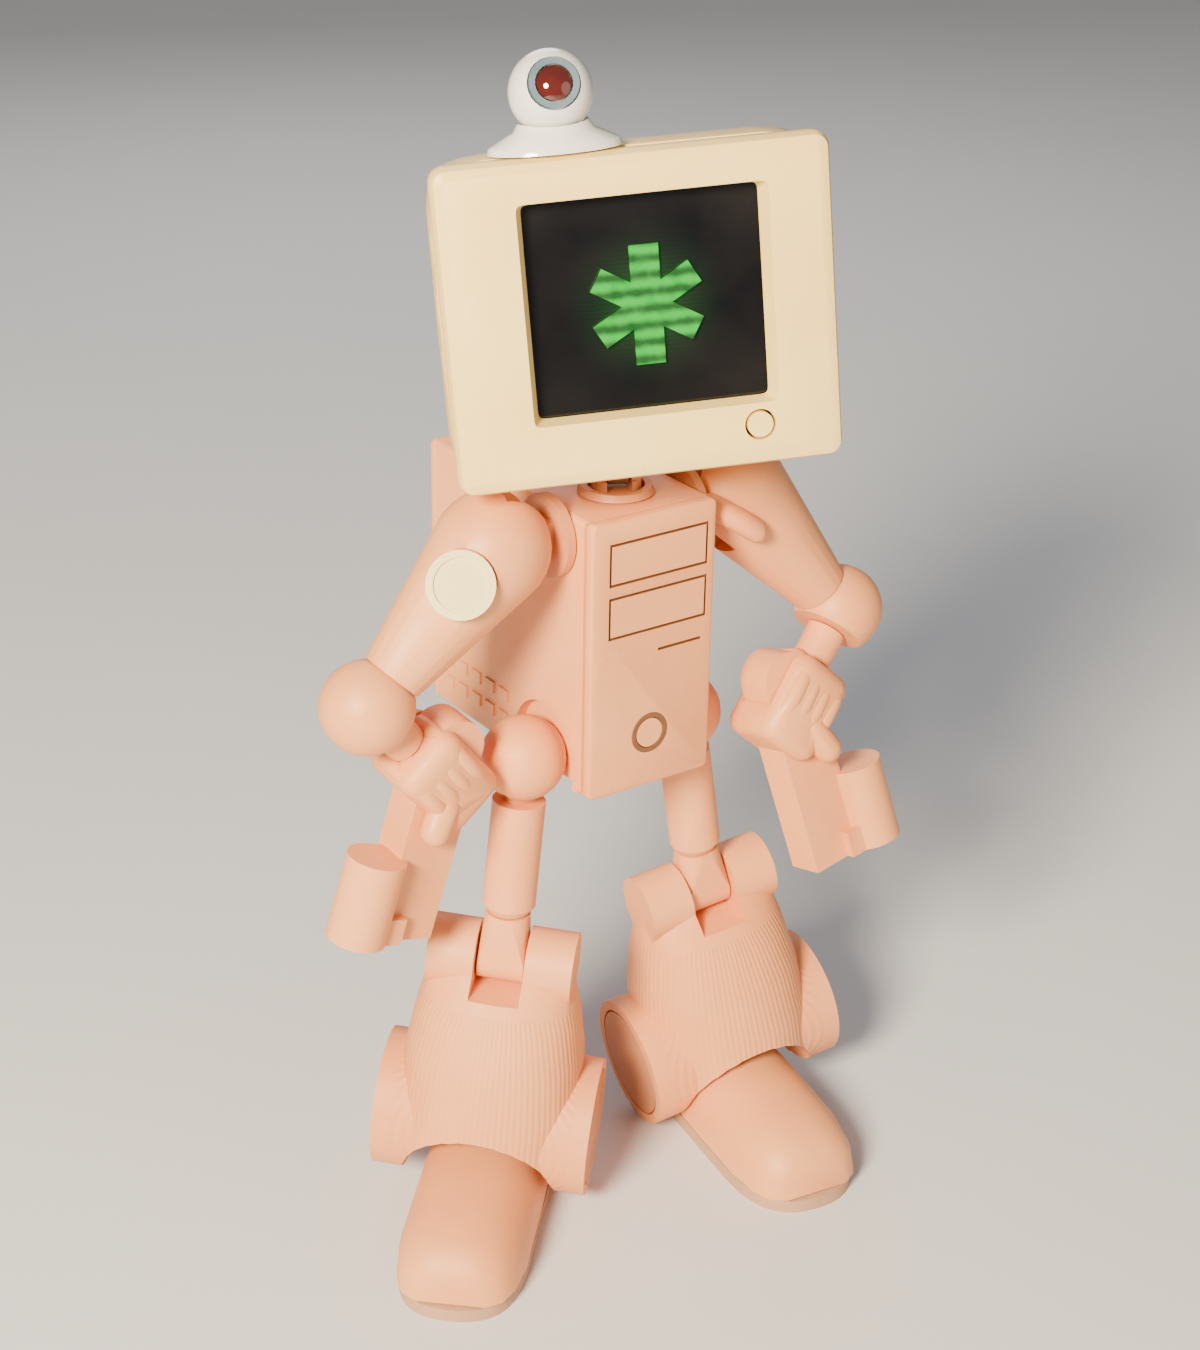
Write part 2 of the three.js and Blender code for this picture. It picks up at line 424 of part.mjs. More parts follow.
function leg(side, s) {
  const { knee } = STANCE[side];
  const up = AXES.z.clone().applyQuaternion(about('y', -lean)).applyQuaternion(legTurn(STANCE[side]).invert());
  const pose = { ...STANCE[side], ankle: deg(Math.atan2(-up.y, up.z)) - knee, roll: deg(Math.asin(up.x)) };
  const out = half + HIP.out;
  const flat = HIP.out + HIP.recess - GAP;
  const swing = station(robot, `hip_swing_${side}`, [s * out, HIP.y, HIP.z], 'x', pose.swing);
  piece(swing, `hip_ball_${side}`, cut(
    join(
      cut(ball(HIP.ballR, 24, 14), at(block(10, 20, 20), -s * (flat + 5), 0, 0)),
      at(rodX(HIP.axleR, 8, 20), -s * (flat + 2), 0, 0),
    ),
    at(block(10.8, THIGH.tongue + 2 * GAP, 14), 0, 0, -2.6),
    rodY(1.7, 9.8, 16),
  ), cream);
  const splay = station(swing, `hip_splay_${side}`, [0, 0, 0], 'y', pose.splay);
  const thighEnd = THIGH.top + THIGH.length;
  piece(splay, `thigh_${side}`, cut(
    join(
      rodY(3.8, THIGH.tongue, 24),
      rodY(1.4, 9, 16),
      at(block(4.8, THIGH.tongue, THIGH.top), 0, 0, -THIGH.top / 2 - 1),
      at(rodZ(THIGH.r, THIGH.length - 1.4, 28), 0, 0, -THIGH.top - GAP - (THIGH.length - 1.4) / 2),
      at(rodZ(THIGH.r - 1, 1.6, 28, THIGH.r), 0, 0, -thighEnd - GAP + 0.8),
    ),
    at(rodZ(2.5, 14, 18), 0, 0, -thighEnd),
  ), cream);
  const turnZ = -thighEnd - 2 * GAP;
  const turn = station(splay, `thigh_turn_${side}`, [0, 0, turnZ], 'z', pose.turn);
  const kneeZ = -KNEE.drop - turnZ;
  piece(turn, `knee_link_${side}`, cut(
    join(
      at(rodZ(2.2, 6.6, 18), 0, 0, 3),
      hull(at(rodZ(KNEE.linkR, 0.6, 24), 0, 0, -0.3), at(rodX(KNEE.linkR, 8.6, 24), 0, 0, kneeZ)),
    ),
    at(rodX(KNEE.pinR + 0.25, 20, 16), 0, 0, kneeZ),
  ), cream);
  const shin = station(turn, `knee_bend_${side}`, [0, 0, kneeZ], 'x', pose.knee);
  const rings = (inset) => [
    [-44.3, 16.3, 15.9], [-38, 17.2, 16.5], [-28, 17.4, 16.4], [-18, 16.7, 14.8],
    [-10, 15.4, 12.2], [-4, 14.0, 9.2], [0, 12.9, 5.8],
  ].filter(([z]) => inset === 0 || z < -9)
    .map(([z, rx, ry]) => oval(z - (inset && z < -44 ? 6 : 0), rx - inset, ry - inset, 0, 2.3, 0, 28));
  const drum = ANKLE.half + ANKLE.discT;
  const axleHole = 2 * (ANKLE.half + 1.4);
  const bell = cut(
    join(skin(rings(0)), rodX(KNEE.cylR, KNEE.cylL, 28), at(rodX(ANKLE.discR, 2 * drum, 36), 0, 0, -SHIN.length)),
    common(skin(rings(SHIN.wall)), at(block(30.8, 60, 80), 0, 0, -30)),
    at(rodY(14.8, 30, 28), 0, -16, -SHIN.length - 11.6),
    at(block(29.6, 30, 12), 0, -16, -SHIN.length - 17.5),
    at(rodY(14.8, 30, 28), 0, 16, -SHIN.length - 11.6),
    at(block(29.6, 30, 12), 0, 16, -SHIN.length - 17.5),
    at(rodX(KNEE.linkR + 0.6, KNEE.slot, 28), 0, 0, 0),
    at(block(KNEE.slot, 30, 14), 0, 0, 2.2),
    at(rodX(ANKLE.axleR + 0.3, axleHole, 20), 0, 0, -SHIN.length),
    at(rodX(KNEE.pinR + 0.2, KNEE.cylL - 4, 16), 0, 0, 0),
    ...[-1, 1].map((i) => at(rodX(ANKLE.discR - 1.9, 2, 32), i * drum, 0, -SHIN.length)),
  );
  piece(shin, `shin_bell_${side}`, bell, cream);
  piece(shin, `knee_pin_${side}`, rodX(KNEE.pinR, KNEE.cylL - 5, 16), steel);
  for (const [label, i] of [['inner', -s], ['outer', s]]) {
    piece(shin, `ankle_cap_${label}_${side}`,
      at(rodX(ANKLE.discR - 2.3, 0.8, 32), i * (drum - 0.4), 0, -SHIN.length), creamDark);
  }
  const ankle = station(shin, `ankle_pitch_${side}`, [0, 0, -SHIN.length], 'x', pose.ankle);
  piece(ankle, `ankle_axle_${side}`, join(rodX(ANKLE.axleR, 2 * (ANKLE.half + 1), 20), rodY(3.4, 12, 20)), steel);
  const foot = station(ankle, `foot_roll_${side}`, [0, 0, 0], 'y', pose.roll);
  const floor = -ANKLE.height;
  const arch = (y, w, h, power = 2.4) => Array.from({ length: 21 }, (_, i) => {
    const t = Math.PI * (i / 20);
    const [c, q] = [Math.cos(t), Math.sin(t)];
    return new THREE.Vector3(-Math.sign(c) * (w / 2) * Math.abs(c) ** (2 / power), y,
      floor + FOOT.sole + GAP + h * q ** (2 / power));
  });
  const upper = skin([
    arch(-FOOT.front + 1.2, 13, 4.6), arch(-FOOT.front + 3, 18.5, 8.2), arch(-34.5, 21.8, 10.4), arch(-28, 23.8, 12),
    arch(-20, FOOT.w, 12.9), arch(-12, FOOT.w, 13.6), arch(-2, FOOT.w - 0.4, 14), arch(6, 22.2, 12.6),
    arch(FOOT.back - 1.6, 16, 8.5),
  ]);
  piece(foot, `foot_${side}`, cut(upper, at(block(40, 5.8, 20), 0, 0, 4.6), rodY(3.8, 12.8, 20)), cream);
  const plan = new THREE.Shape();
  const w = FOOT.w / 2;
  plan.moveTo(-w, -4);
  plan.lineTo(-w, 24);
  plan.bezierCurveTo(-w, 36, -8.5, FOOT.front, 0, FOOT.front);
  plan.bezierCurveTo(8.5, FOOT.front, w, 36, w, 24);
  plan.lineTo(w, -4);
  plan.bezierCurveTo(w, -10, 8, -FOOT.back, 0, -FOOT.back);
  plan.bezierCurveTo(-8, -FOOT.back, -w, -10, -w, -4);
  const sole = new THREE.ExtrudeGeometry(plan, { depth: FOOT.sole, bevelEnabled: false, curveSegments: 9 })
    .rotateX(Math.PI).translate(0, 0, floor + FOOT.sole);
  piece(foot, `foot_sole_${side}`, sole, rubber);
}
leg('right', -1);
leg('left', 1);

// ---------------------------------------------------------------- whole figure: bottom centre at the origin
const group = new THREE.Group();
group.name = 'walking_humanoid_robot';
group.add(robot);
group.updateMatrixWorld(true);
const bounds = new THREE.Box3().setFromObject(robot, true);
const middle = bounds.getCenter(new THREE.Vector3());
robot.position.set(-middle.x, -middle.y, -bounds.min.z);
group.updateMatrixWorld(true);

export default group;
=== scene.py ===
"""Looks of the walking toy robot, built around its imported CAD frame. Lengths are in metres."""
import json
import math

import bpy
from mathutils import Matrix, Vector


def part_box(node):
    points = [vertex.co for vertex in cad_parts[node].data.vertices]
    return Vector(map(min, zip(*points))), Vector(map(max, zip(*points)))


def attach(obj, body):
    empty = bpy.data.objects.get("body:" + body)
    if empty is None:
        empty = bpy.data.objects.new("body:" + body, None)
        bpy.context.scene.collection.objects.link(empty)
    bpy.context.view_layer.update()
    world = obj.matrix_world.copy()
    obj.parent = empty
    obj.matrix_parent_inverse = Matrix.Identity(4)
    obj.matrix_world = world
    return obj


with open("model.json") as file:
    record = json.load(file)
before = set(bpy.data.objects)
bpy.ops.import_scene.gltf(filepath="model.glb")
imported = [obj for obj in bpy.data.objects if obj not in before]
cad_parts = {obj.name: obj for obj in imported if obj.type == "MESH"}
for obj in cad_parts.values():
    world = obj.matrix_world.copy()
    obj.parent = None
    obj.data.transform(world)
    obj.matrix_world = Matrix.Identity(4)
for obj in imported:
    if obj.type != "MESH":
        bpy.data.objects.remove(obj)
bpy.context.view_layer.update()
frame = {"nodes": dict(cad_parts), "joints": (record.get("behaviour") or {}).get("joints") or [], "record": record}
NODES = frame["nodes"]
JOINTS = {joint["name"]: joint for joint in frame["joints"]}
MM = 0.001
SIDES = ("right", "left")

# camera fitted to the tower body: azimuth, elevation and roll in degrees, place in millimetres from the
# bottom centre of the tower's front, and focal length and sensor in millimetres
VIEW = {
    "azimuth": -35.491, "elevation": 25.256, "roll": 1.035,
    "place": (-228.36, -304.51, 200.83), "lens": 64.07, "sensor": 36.0,
}
CLIP_NEAR, CLIP_FAR = 0.01, 20.0
TOWER_HALF_WIDTH = 13.0 * MM

CREAM = (0.87, 0.375, 0.150)
CREAM_DEEP = (0.80, 0.300, 0.108)
PALE = (0.98, 0.70, 0.250)
PALE_DEEP = (0.94, 0.62, 0.195)
TRIM = (0.66, 0.27, 0.11)
TRIM_DEEP = (0.48, 0.175, 0.065)
BROWN = (0.20, 0.075, 0.022)
BLACK = (0.0, 0.0, 0.0)

# noise scales are in features per metre; a noise stays mostly inside NOISE_BAND
NOISE_BAND = (0.3, 0.7)
PLASTIC_IOR = 1.47
GLASS_IOR = 1.52

SMOOTH_ANGLE = math.radians(34)
WELD_REACH = 0.004 * MM


# ------------------------------------------------------------------ places taken from the frame
def joint_point(name):
    return Vector(JOINTS[name]["pos_m"])


def joint_axis(name):
    return Vector(JOINTS[name]["axis"]).normalized()


def axes(origin, x_axis, z_axis):
    """Matrix from a local frame with these axes to the row frame; x is squared up to z."""
    z = z_axis.normalized()
    y = z.cross(x_axis).normalized()
    x = y.cross(z)
    turn = Matrix((x, y, z)).transposed().to_4x4()
    return Matrix.Translation(origin) @ turn


def middle(name):
    """Middle of a CAD node's box."""
    low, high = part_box(name)
    return (low + high) / 2


UP = joint_axis("neck_turn")
TORSO = axes(joint_point("neck_turn"), joint_axis("hip_swing_right"), UP)
HEAD_BACK = joint_axis("head_tilt")
HEAD_X = joint_axis("eye_tilt")
SYMBOL = axes(middle("screen_symbol"), HEAD_X, HEAD_X.cross(HEAD_BACK))
HAND = {}
SHIN = {}
UPPER_ARM = {}
for side in SIDES:
    wrist_z = joint_axis("wrist_turn_" + side)
    elbow_y = joint_axis("elbow_bend_" + side)
    HAND[side] = axes(joint_point("wrist_turn_" + side), elbow_y.cross(wrist_z), wrist_z)
    ankle = joint_point("ankle_pitch_" + side)
    knee = joint_point("knee_bend_" + side)
    SHIN[side] = axes(ankle, joint_axis("ankle_pitch_" + side), knee - ankle)
    elbow = joint_point("elbow_bend_" + side)
    raised = joint_point("shoulder_raise_" + side)
    UPPER_ARM[side] = axes(raised, elbow_y.cross(raised - elbow), raised - elbow)


# ------------------------------------------------------------------ material helpers
def scaled(colour, share):
    return tuple(c * share for c in colour)


class Nodes:
    """A material's node tree, with short calls for the nodes used here."""

    def __init__(self, name):
        self.material = bpy.data.materials.new(name)
        self.material.use_nodes = True
        self.tree = self.material.node_tree
        self.shader = self.tree.nodes["Principled BSDF"]
        self.coord = self.tree.nodes.new("ShaderNodeTexCoord")

    def link(self, output, socket):
        self.tree.links.new(output, socket)

    def feed(self, socket, value):
        if hasattr(value, "links"):
            self.link(value, socket)
        else:
            socket.default_value = value

    def fixed(self, socket, value):
        """A value that is the same all over, on the shader's own socket."""
        self.shader.inputs[socket].default_value = value

    def local(self, matrix):
        """The surface point in a local frame, in metres."""
        node = self.tree.nodes.new("ShaderNodeMapping")
        node.vector_type = "TEXTURE"
        self.link(self.coord.outputs["Object"], node.inputs["Vector"])
        node.inputs["Location"].default_value = matrix.to_translation()
        node.inputs["Rotation"].default_value = matrix.to_euler()
        return node.outputs["Vector"]

    def split(self, vector):
        node = self.tree.nodes.new("ShaderNodeSeparateXYZ")
        self.link(vector, node.inputs[0])
        return node.outputs

    def math(self, operation, a, b=0.0):
        node = self.tree.nodes.new("ShaderNodeMath")
        node.operation = operation
        self.feed(node.inputs[0], a)
        self.feed(node.inputs[1], b)
        return node.outputs[0]

    def product(self, *values):
        result = values[0]
        for value in values[1:]:
            result = self.math("MULTIPLY", result, value)
        return result

    def wave(self, value, rate):
        """Sine of a value times a rate, in radians."""
        return self.math("SINE", self.math("MULTIPLY", value, rate))

    def between(self, value, band):
        """1 inside the band and 0 outside it."""
        low, high = band
        above = self.math("GREATER_THAN", value, low)
        below = self.math("LESS_THAN", value, high)
        return self.math("MULTIPLY", above, below)

    def noise(self, scale, detail=2.0, vector=None):
        node = self.tree.nodes.new("ShaderNodeTexNoise")
        node.inputs["Scale"].default_value = scale
        node.inputs["Detail"].default_value = detail
        self.link(vector or self.coord.outputs["Object"], node.inputs["Vector"])
        return node.outputs["Fac"]

    def ramp(self, value, source, target):
        """Takes the source band to the target band in a straight line and holds beyond its ends."""
        node = self.tree.nodes.new("ShaderNodeMapRange")
        self.link(value, node.inputs["Value"])
        ends = ("From Min", "From Max", "To Min", "To Max")
        for end, number in zip(ends, (*source, *target)):
            node.inputs[end].default_value = number
        return node.outputs["Result"]

    def vary(self, noise, target=(0.0, 1.0)):
        """Value that wanders over the target band with a noise."""
        return self.ramp(noise, NOISE_BAND, target)

    def mix(self, factor, a, b):
        node = self.tree.nodes.new("ShaderNodeMix")
        node.data_type = "RGBA"
        self.feed(node.inputs["Factor"], factor)
        for socket, colour in ((node.inputs["A"], a), (node.inputs["B"], b)):
            self.feed(socket, colour if hasattr(colour, "links") else (*colour, 1.0))
        return node.outputs["Result"]

    def bump(self, height, distance, strength=1.0, below=None):
        node = self.tree.nodes.new("ShaderNodeBump")
        node.inputs["Strength"].default_value = strength
        node.inputs["Distance"].default_value = distance
        self.link(height, node.inputs["Height"])
        if below is not None:
            self.link(below, node.inputs["Normal"])
        return node.outputs["Normal"]

    def set_colour(self, value):
        self.link(value, self.shader.inputs["Base Color"])

    def set_glow(self, value):
        self.link(value, self.shader.inputs["Emission Color"])

    def set_roughness(self, value):
        self.link(value, self.shader.inputs["Roughness"])

    def set_normal(self, value):
        self.link(value, self.shader.inputs["Normal"])

    def source_of(self, socket):
        """The output that feeds one of the shader's sockets."""
        return self.shader.inputs[socket].links[0].from_socket


# ------------------------------------------------------------------ materials
def moulded(name, light, deep, sheen=(0.40, 0.56), grain=3e-5, coat=0.0):
    """Moulded plastic: slow colour drift, paler worn edges, dark specks, uneven sheen and a fine grain."""
    drift_scale, speck_scale, sheen_scale, grain_scale = 34.0, 900.0, 150.0, 2600.0
    drift_band, speck_band, edge_band = (0.32, 0.68), (0.70, 0.80), (0.52, 0.62)
    most_worn, most_speck, speck_shade = 0.35, 0.16, 0.62
    worn_gain, worn_lift = 1.12, 0.02
    n = Nodes(name)
    drift = n.ramp(n.noise(drift_scale, 4.0), drift_band, (0.0, 1.0))
    tone = n.mix(drift, deep, light)
    geometry = n.tree.nodes.new("ShaderNodeNewGeometry")
    edge = n.ramp(geometry.outputs["Pointiness"], edge_band, (0.0, most_worn))
    worn = n.mix(edge, tone, tuple(min(1.0, c * worn_gain + worn_lift) for c in light))
    specks = n.ramp(n.noise(speck_scale, 1.0), speck_band, (0.0, most_speck))
    n.set_colour(n.mix(specks, worn, scaled(deep, speck_shade)))
    n.set_roughness(n.vary(n.noise(sheen_scale, 3.0), sheen))
    n.set_normal(n.bump(n.noise(grain_scale, 2.0), grain))
    n.fixed("IOR", PLASTIC_IOR)
    n.fixed("Coat Weight", coat)
    n.fixed("Coat Roughness", 0.12)
    return n


def front_panel():
    """Cream panel whose engraved lines and button well are filled with brown."""
    marks_x = (-11.4 * MM, 11.6 * MM)
    marks_z = (-46.0 * MM, -3.2 * MM)
    engraved = 0.16 * MM
    steepest = 0.5
    n = moulded("panel_plastic", CREAM, CREAM_DEEP)
    point = n.split(n.local(TORSO))
    face = (TORSO.inverted() @ Vector((0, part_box("torso_front_panel")[0].y, 0))).y
    normal = n.split(n.coord.outputs["Normal"])
    deep = n.math("GREATER_THAN", point["Y"], face + engraved)
    facing_out = n.math("LESS_THAN", normal["Y"], steepest)
    across = n.between(point["X"], marks_x)
    along = n.between(point["Z"], marks_z)
    mask = n.product(deep, facing_out, across, along)
    n.set_colour(n.mix(mask, n.source_of("Base Color"), BROWN))
    return n.material


def shin_plastic(side):
    """Cream plastic with the fine upright ribs of the bell-shaped shins, the grooves between the ribs darkened
    with painted shading.
    """
    rib_count = 90.0
    rib_height, rib_strength, most_painted_shade = 6e-5, 0.6, 0.22
    ribbed_z = (-12.0 * MM, 27.0 * MM)
    ribbed_x = (-16.9 * MM, 16.9 * MM)
    n = moulded("shin_plastic_" + side, CREAM, CREAM_DEEP, sheen=(0.46, 0.60))
    point = n.split(n.local(SHIN[side]))
    ribs = n.wave(n.math("ARCTAN2", point["Y"], point["X"]), rib_count)
    height = n.product(ribs, n.between(point["Z"], ribbed_z), n.between(point["X"], ribbed_x))
    n.set_normal(n.bump(height, rib_height, rib_strength, n.source_of("Normal")))
    # painted shading: the colour darkens towards CREAM_DEEP in the low grooves between the ribs
    groove_painted_shade = n.ramp(height, (0.1, -1.0), (0.0, most_painted_shade))
    n.set_colour(n.mix(groove_painted_shade, n.source_of("Base Color"), CREAM_DEEP))
    return n.material


def screen_glass():
    """Polished black glass that carries the dim green glow round the lit symbol."""
    glow_reach = (3.0 * MM, 15.5 * MM)
    glow_fall = 2.2
    line_rate = 9000.0
    n = Nodes("screen_glass")
    point = n.local(SYMBOL)
    length = n.tree.nodes.new("ShaderNodeVectorMath")
    length.operation = "LENGTH"
    n.link(point, length.inputs[0])
    glow = n.ramp(length.outputs["Value"], glow_reach, (1.0, 0.0))
    glow = n.math("POWER", n.math("MAXIMUM", glow, 0.0), glow_fall)
    lines = n.ramp(n.wave(n.split(point)["Z"], line_rate), (-1.0, 1.0), (0.7, 1.0))
    glow = n.math("MULTIPLY", glow, lines)
    n.set_colour(n.mix(n.vary(n.noise(60.0, 3.0)), (0.004, 0.004, 0.005), (0.011, 0.010, 0.010)))
    n.set_glow(n.mix(glow, BLACK, (0.004, 0.115, 0.012)))
    n.fixed("Emission Strength", 1.0)
    n.set_roughness(n.ramp(n.noise(45.0, 4.0), (0.35, 0.7), (0.05, 0.13)))
    n.set_normal(n.bump(n.noise(30.0, 1.0), 4e-5))
    n.fixed("IOR", GLASS_IOR)
    return n.material


def lit_symbol():
    """Green display mark made of lighter and darker bars."""
    bar_rate, bar_share = 2300.0, 0.5
    n = Nodes("lit_symbol")
    bars = n.wave(n.split(n.local(SYMBOL))["Z"], bar_rate)
    soft = n.noise(420.0, 2.0)
    bright = n.ramp(n.math("ADD", n.math("MULTIPLY", bars, bar_share), soft), (0.05, 0.95), (0.0, 1.0))
    n.set_colour(n.mix(bright, (0.0, 0.045, 0.004), (0.002, 0.22, 0.012)))
    n.set_glow(n.mix(bright, (0.0, 0.085, 0.006), (0.006, 0.62, 0.03)))
    n.fixed("Emission Strength", 0.55)
    n.set_roughness(n.vary(soft, (0.35, 0.55)))
    return n.material


def glossy(name, light, deep, sheen=(0.08, 0.16), coat=0.5):
    """Polished plastic with faint clouding and fine polishing marks."""
    cloud_scale, sheen_scale, mark_scale = 120.0, 260.0, 1500.0
    mark_height = 6e-6
    n = Nodes(name)
    n.set_colour(n.mix(n.vary(n.noise(cloud_scale, 3.0)), deep, light))
    n.set_roughness(n.vary(n.noise(sheen_scale, 4.0), sheen))
    n.set_normal(n.bump(n.noise(mark_scale, 1.0), mark_height))
    n.fixed("Coat Weight", coat)
    n.fixed("Coat Roughness", 0.05)
    return n.material


def turned_metal(name, light, deep):
    """Metal with fine drawn lines."""
    line_scale = (300.0, 300.0, 4000.0)
    line_height = 8e-6
    n = Nodes(name)
    stretched = n.tree.nodes.new("ShaderNodeMapping")
    stretched.inputs["Scale"].default_value = line_scale
    n.link(n.coord.outputs["Object"], stretched.inputs["Vector"])
    lines = n.noise(1.0, 3.0, vector=stretched.outputs["Vector"])
    n.set_colour(n.mix(lines, deep, light))
    n.set_roughness(n.vary(lines, (0.28, 0.45)))
    n.set_normal(n.bump(lines, line_height))
    n.fixed("Metallic", 1.0)
    return n.material


def laminate():
    """Green circuit board with a raised copper pattern."""
    pattern_scale, pattern_height, sheen_scale = 260.0, 5e-5, 300.0
    n = Nodes("laminate")
    brick = n.tree.nodes.new("ShaderNodeTexBrick")
    brick.inputs["Scale"].default_value = pattern_scale
    brick.inputs["Color1"].default_value = (0.012, 0.10, 0.03, 1.0)
    brick.inputs["Color2"].default_value = (0.018, 0.15, 0.05, 1.0)
    brick.inputs["Mortar"].default_value = (0.10, 0.24, 0.07, 1.0)
    n.link(n.coord.outputs["Object"], brick.inputs["Vector"])
    n.set_colour(brick.outputs["Color"])
    n.set_roughness(n.vary(n.noise(sheen_scale), (0.3, 0.5)))
    n.set_normal(n.bump(brick.outputs["Fac"], pattern_height))
    return n.material


cream = moulded("cream_plastic", CREAM, CREAM_DEEP).material
inlay = moulded("brown_inlay", BROWN, scaled(BROWN, 0.7), sheen=(0.5, 0.65)).material
steel = turned_metal("pin_steel", (0.52, 0.52, 0.53), (0.34, 0.34, 0.35))

SLOT_LOOK = {
    "body_plastic": cream,
    "head_plastic": moulded("pale_plastic", PALE, PALE_DEEP, sheen=(0.38, 0.52)).material,
    "trim_plastic": moulded("trim_plastic", TRIM, TRIM_DEEP).material,
    "white_gloss": glossy("white_gloss", (0.86, 0.84, 0.80), (0.80, 0.77, 0.72)),
    "screen_black": screen_glass(),
    "symbol_green": lit_symbol(),
    "iris_blue_grey": glossy("iris_ring", (0.16, 0.23, 0.27), (0.09, 0.14, 0.17)),
    "lens_dark": glossy("lens", (0.10, 0.012, 0.008), (0.03, 0.004, 0.003), sheen=(0.03, 0.06), coat=1.0),
    "cell_metal": turned_metal("cell_can", (0.60, 0.61, 0.62), (0.42, 0.43, 0.45)),
    "circuit_board": laminate(),
    "pin_steel": steel,
    "sole_rubber": moulded("sole_rubber", (0.52, 0.30, 0.18), (0.42, 0.23, 0.14),
                           sheen=(0.66, 0.82), grain=8e-5).material,
}
NODE_LOOK = {
    "torso_front_panel": front_panel(),
    # the badge is paler and yellower than the arm: partly its own lighter plastic, partly a painted highlight of
    # its lit outer face
    "arm_badge": moulded("badge_tone_and_painted_highlight", (0.98, 0.80, 0.40), (0.95, 0.72, 0.31),
                         sheen=(0.3, 0.42), coat=0.2).material,
}
for side in SIDES:
    NODE_LOOK["shin_bell_" + side] = shin_plastic(side)


# ------------------------------------------------------------------ finish of the CAD nodes
def crisp(obj):
    """Smooth shading that breaks at the form's own edges."""
    mesh = obj.data
    mesh.polygons.foreach_set("use_smooth", [True] * len(mesh.polygons))
    split = obj.modifiers.new("crisp_edges", "EDGE_SPLIT")
    split.split_angle = SMOOTH_ANGLE


for part in frame["record"]["subparts"]:
    node = NODES[part["node"]]
    mesh = node.data
    mesh.materials.clear()
    mesh.materials.append(NODE_LOOK.get(part["node"], SLOT_LOOK[part["material_slot"]]))
    if "custom_normal" in mesh.attributes:
        mesh.attributes.remove(mesh.attributes["custom_normal"])
    weld = node.modifiers.new("weld", "WELD")
    weld.merge_threshold = WELD_REACH
    crisp(node)


# ------------------------------------------------------------------ mesh helpers
def add_piece(name, verts, faces, material, body, matrix, slot):
    mesh = bpy.data.meshes.new(name)
    mesh.from_pydata([tuple(v) for v in verts], [], faces)
    mesh.validate()
    mesh.materials.append(material)
    mesh.transform(matrix)
    obj = bpy.data.objects.new(name, mesh)
    bpy.context.scene.collection.objects.link(obj)
    crisp(obj)
    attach(obj, body)


def round_angles(sides):
    return [2 * math.pi * i / sides for i in range(sides)]


def rings_mesh(rings):
    """Closed skin through rings of equal length, capped at both ends."""
    count = len(rings[0])
    verts = [point for ring in rings for point in ring]
    faces = []
    for k in range(len(rings) - 1):
        for i in range(count):
            j = (i + 1) % count
            a, b = k * count, (k + 1) * count
            faces.append((a + i, a + j, b + j, b + i))
    faces.append(tuple(reversed(range(count))))
    last = (len(rings) - 1) * count
    faces.append(tuple(last + i for i in range(count)))
    return verts, faces


def sweep(path, radii, sides=16, flat=1.0):
    """Rod along a path with a radius at each point; flat squeezes it along the second cross direction."""
    rings = []
    across = None
    for k, (point, radius) in enumerate(zip(path, radii)):
        ahead = path[min(k + 1, len(path) - 1)]
        behind = path[max(k - 1, 0)]
        along = (ahead - behind).normalized()
        if across is None:
            across = along.orthogonal().normalized()
        across = (across - along * across.dot(along)).normalized()
        other = along.cross(across)
        rings.append([
            point + across * (math.cos(angle) * radius) + other * (math.sin(angle) * radius * flat)
            for angle in round_angles(sides)
        ])
    return rings_mesh(rings)


def capsule_path(points, radius, steps=5):
    """Points and radii of a rod whose ends are rounded off."""
    pole_gap = 0.35
    points = [Vector(point) for point in points]
    head = (points[0] - points[1]).normalized()
    tail = (points[-1] - points[-2]).normalized()
    angles = [math.pi / 2 * (1 - (i + pole_gap) / steps) for i in range(steps)]
    path = [points[0] + head * (radius * math.sin(angle)) for angle in angles]
    path += points
    path += [points[-1] + tail * (radius * math.sin(angle)) for angle in reversed(angles)]
    caps = [radius * math.cos(angle) for angle in angles]
    return path, caps + [radius] * len(points) + caps[::-1]


def join_parts(*parts):
    verts = []
    faces = []
    for part_verts, part_faces in parts:
        start = len(verts)
        verts += part_verts
        faces += [tuple(start + i for i in face) for face in part_faces]
    return verts, faces


def hex_screw(radius, height, sides=24):
    """Button-head screw with a hexagon socket, standing on z = 0."""
    # each ring as shares of the radius and of the height
    head_rings = ((1.0, 0.0), (1.0, 0.55), (0.86, 0.9), (0.68, 1.0))
    socket_rings = ((0.46, 1.0), (0.44, 0.3))

    def hexagon_share(angle):
        inner = (angle + math.pi / 6) % (math.pi / 3) - math.pi / 6
        return math.cos(math.pi / 6) / math.cos(inner)

    def ring(r, z, share=lambda angle: 1.0):
        return [Vector((r * share(angle) * math.cos(angle), r * share(angle) * math.sin(angle), z))
                for angle in round_angles(sides)]

    rings = [ring(radius * r, height * z) for r, z in head_rings]
    rings += [ring(radius * r, height * z, hexagon_share) for r, z in socket_rings]
    return rings_mesh(rings)


def ring_band(outer, inner, height, sides=48):
    """Flat ring lying on z = 0, the outer and inner edges of its top eased."""
    eased_share = 0.25
    ease = min(outer - inner, height) * eased_share
    profile = [(inner, 0.0), (outer, 0.0), (outer, height - ease), (outer - ease, height),
               (inner + ease, height), (inner, height - ease)]
    verts = [Vector((r * math.cos(angle), r * math.sin(angle), z))
             for angle in round_angles(sides) for r, z in profile]
    faces = []
    n = len(profile)
    for i in range(sides):
        a, b = i * n, (i + 1) % sides * n
        for k in range(n):
            m = (k + 1) % n
            faces.append((a + k, b + k, b + m, a + m))
    return verts, faces


def facing(place, normal):
    """Matrix that stands a local +Z form on a point of a surface with this outward normal."""
    normal = Vector(normal).normalized()
    return Matrix.Translation(place) @ normal.to_track_quat("Z", "Y").to_matrix().to_4x4()


